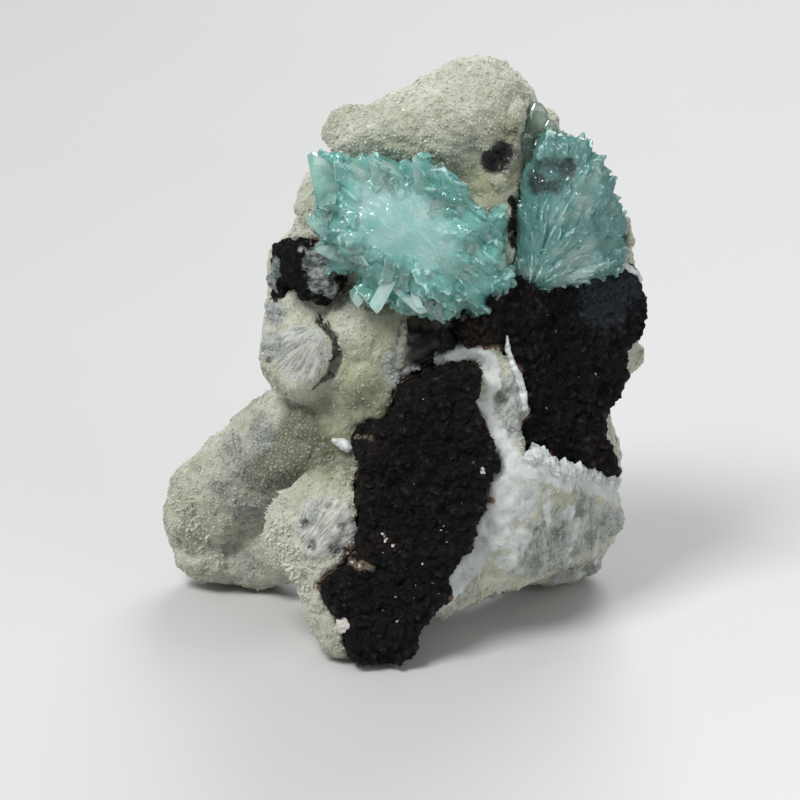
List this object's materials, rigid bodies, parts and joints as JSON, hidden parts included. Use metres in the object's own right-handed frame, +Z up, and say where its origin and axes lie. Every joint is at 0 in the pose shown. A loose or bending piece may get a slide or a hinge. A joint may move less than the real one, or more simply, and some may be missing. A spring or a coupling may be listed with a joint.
{
  "type": "apophyllite specimen",
  "caption": "Hand specimen of green apophyllite crystals in two sprays on rounded pale zeolite fingers with broken black basalt matrix.",
  "frame": {"origin": "middle of the specimen's box at floor level, where it rests", "axes": "+X to the viewer's right, +Y away from the viewer of its best side, +Z up"},
  "size_m": [0.069, 0.046, 0.0813],
  "materials": {
    "zeolite": "drusy, frosted pale stone",
    "basalt": "rough broken black rock",
    "grey_rock": "rough dark grey rock",
    "apophyllite": "glassy green crystal",
    "clear_tip": "clear pale green crystal"
  },
  "bodies": {
    "root": {"zeolite_fingers": "zeolite", "basalt_front": "basalt", "basalt_right": "basalt", "basalt_left": "grey_rock", "apophyllite_main": "apophyllite", "apophyllite_right": "apophyllite", "apophyllite_tip": "clear_tip"}
  },
  "joints": []
}
